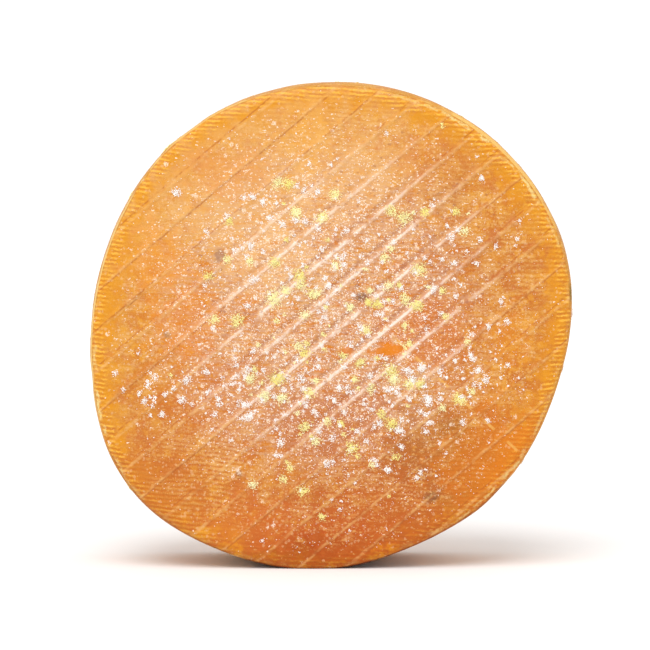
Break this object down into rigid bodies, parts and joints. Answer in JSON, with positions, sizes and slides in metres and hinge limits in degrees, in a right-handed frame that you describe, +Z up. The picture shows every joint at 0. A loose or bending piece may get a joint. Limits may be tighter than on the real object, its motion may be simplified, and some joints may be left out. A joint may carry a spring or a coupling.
{
  "type": "tomme cheese",
  "caption": "Whole uncut wheel of tomme cheese with an orange washed rind and slanting mat ridges, standing on its rim.",
  "frame": {"origin": "bottom centre of the wheel, on the small flat spot that it rests on", "axes": "+X right along the shown face, +Y through the wheel from the shown face to the back, +Z up"},
  "size_m": [0.2078, 0.061, 0.2077],
  "materials": {
    "rind": "matte, finely ribbed orange rind with a powdery bloom"
  },
  "bodies": {
    "root": {"cheese_wheel": "rind"}
  },
  "joints": []
}
